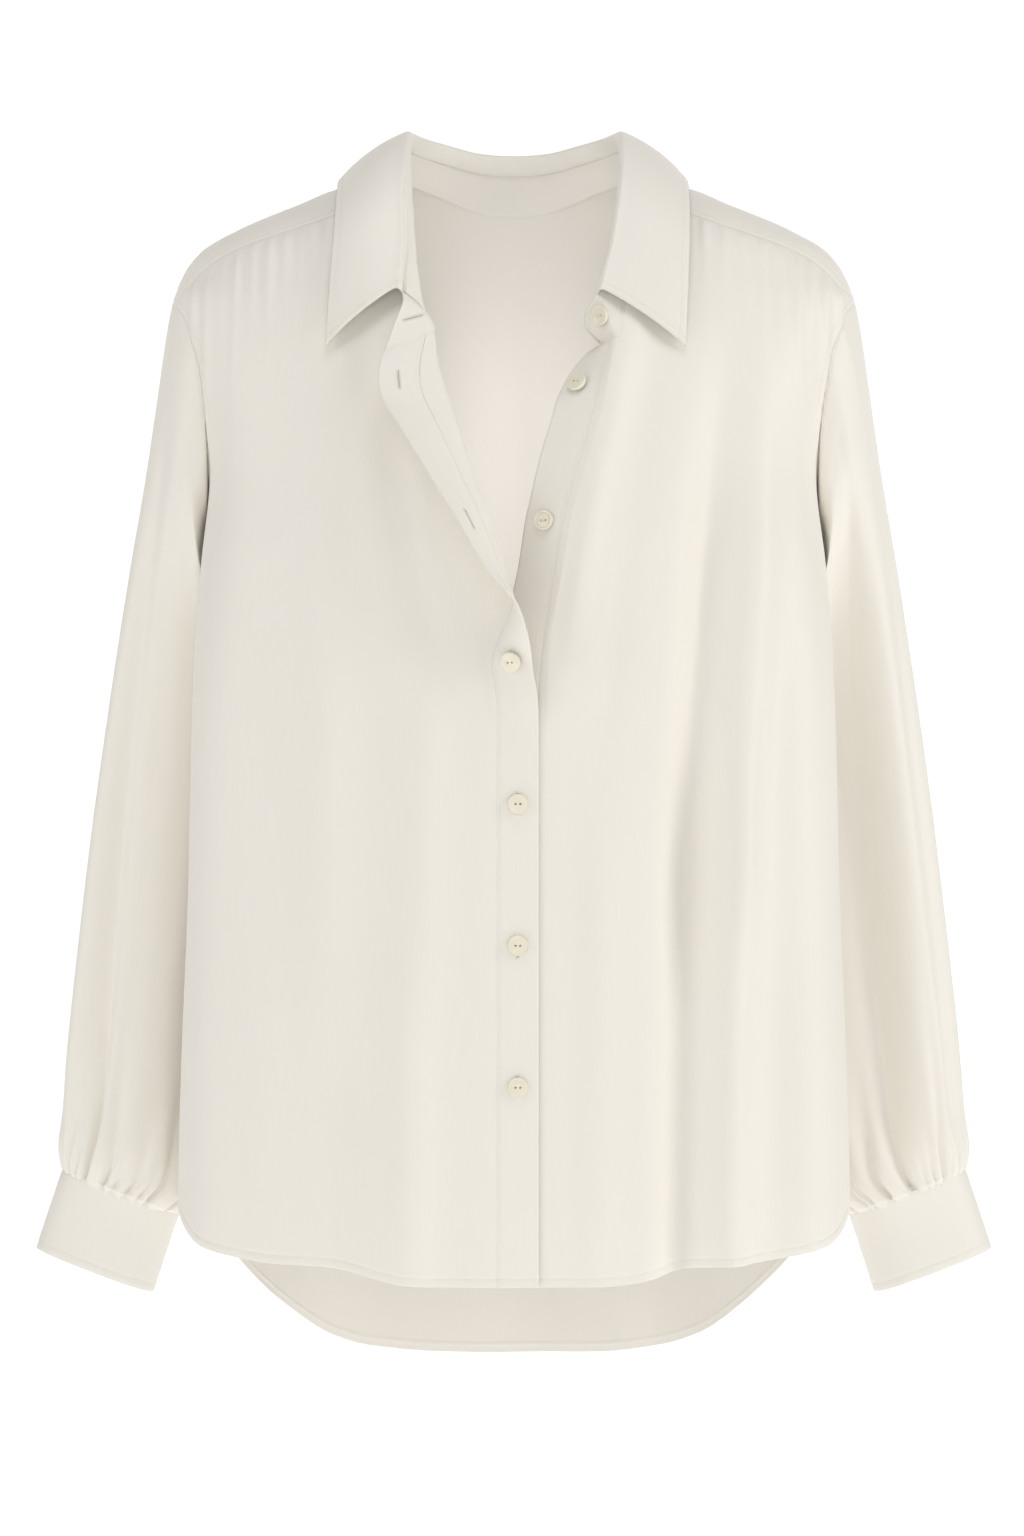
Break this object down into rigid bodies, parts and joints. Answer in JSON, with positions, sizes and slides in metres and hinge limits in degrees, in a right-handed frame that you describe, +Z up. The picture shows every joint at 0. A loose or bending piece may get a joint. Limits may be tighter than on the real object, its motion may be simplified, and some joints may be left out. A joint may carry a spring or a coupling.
{
  "type": "button-front blouse",
  "caption": "Hollow long-sleeved silk blouse with a pointed collar, a buttoned front open at the neck and turned out at one side, buttoned cuffs and a shirt-tail hem.",
  "frame": {"origin": "between the shoulders, on the centre plane at the height of the neck seam, where a hanger or the wearer's shoulders carry the blouse", "axes": "+Z up along the blouse, -Y out of its front, +X towards the wearer's left sleeve"},
  "size_m": [0.601, 0.2797, 0.7695],
  "materials": {
    "silk": "smooth ivory silk with a soft sheen",
    "button": "polished cream shell-like button"
  },
  "bodies": {
    "root": {"front_right": "silk", "buttonhole_band": "silk", "front_left": "silk", "button_band": "silk", "back": "silk", "sleeve_right": "silk", "sleeve_left": "silk", "cuff_right": "silk", "cuff_left": "silk", "collar_stand": "silk", "collar_leaf": "silk", "front_button_1": "button", "front_button_2": "button", "front_button_3": "button", "front_button_4": "button", "front_button_5": "button", "front_button_6": "button", "collar_button": "button", "cuff_button_right": "button", "cuff_button_left": "button"}
  },
  "joints": []
}
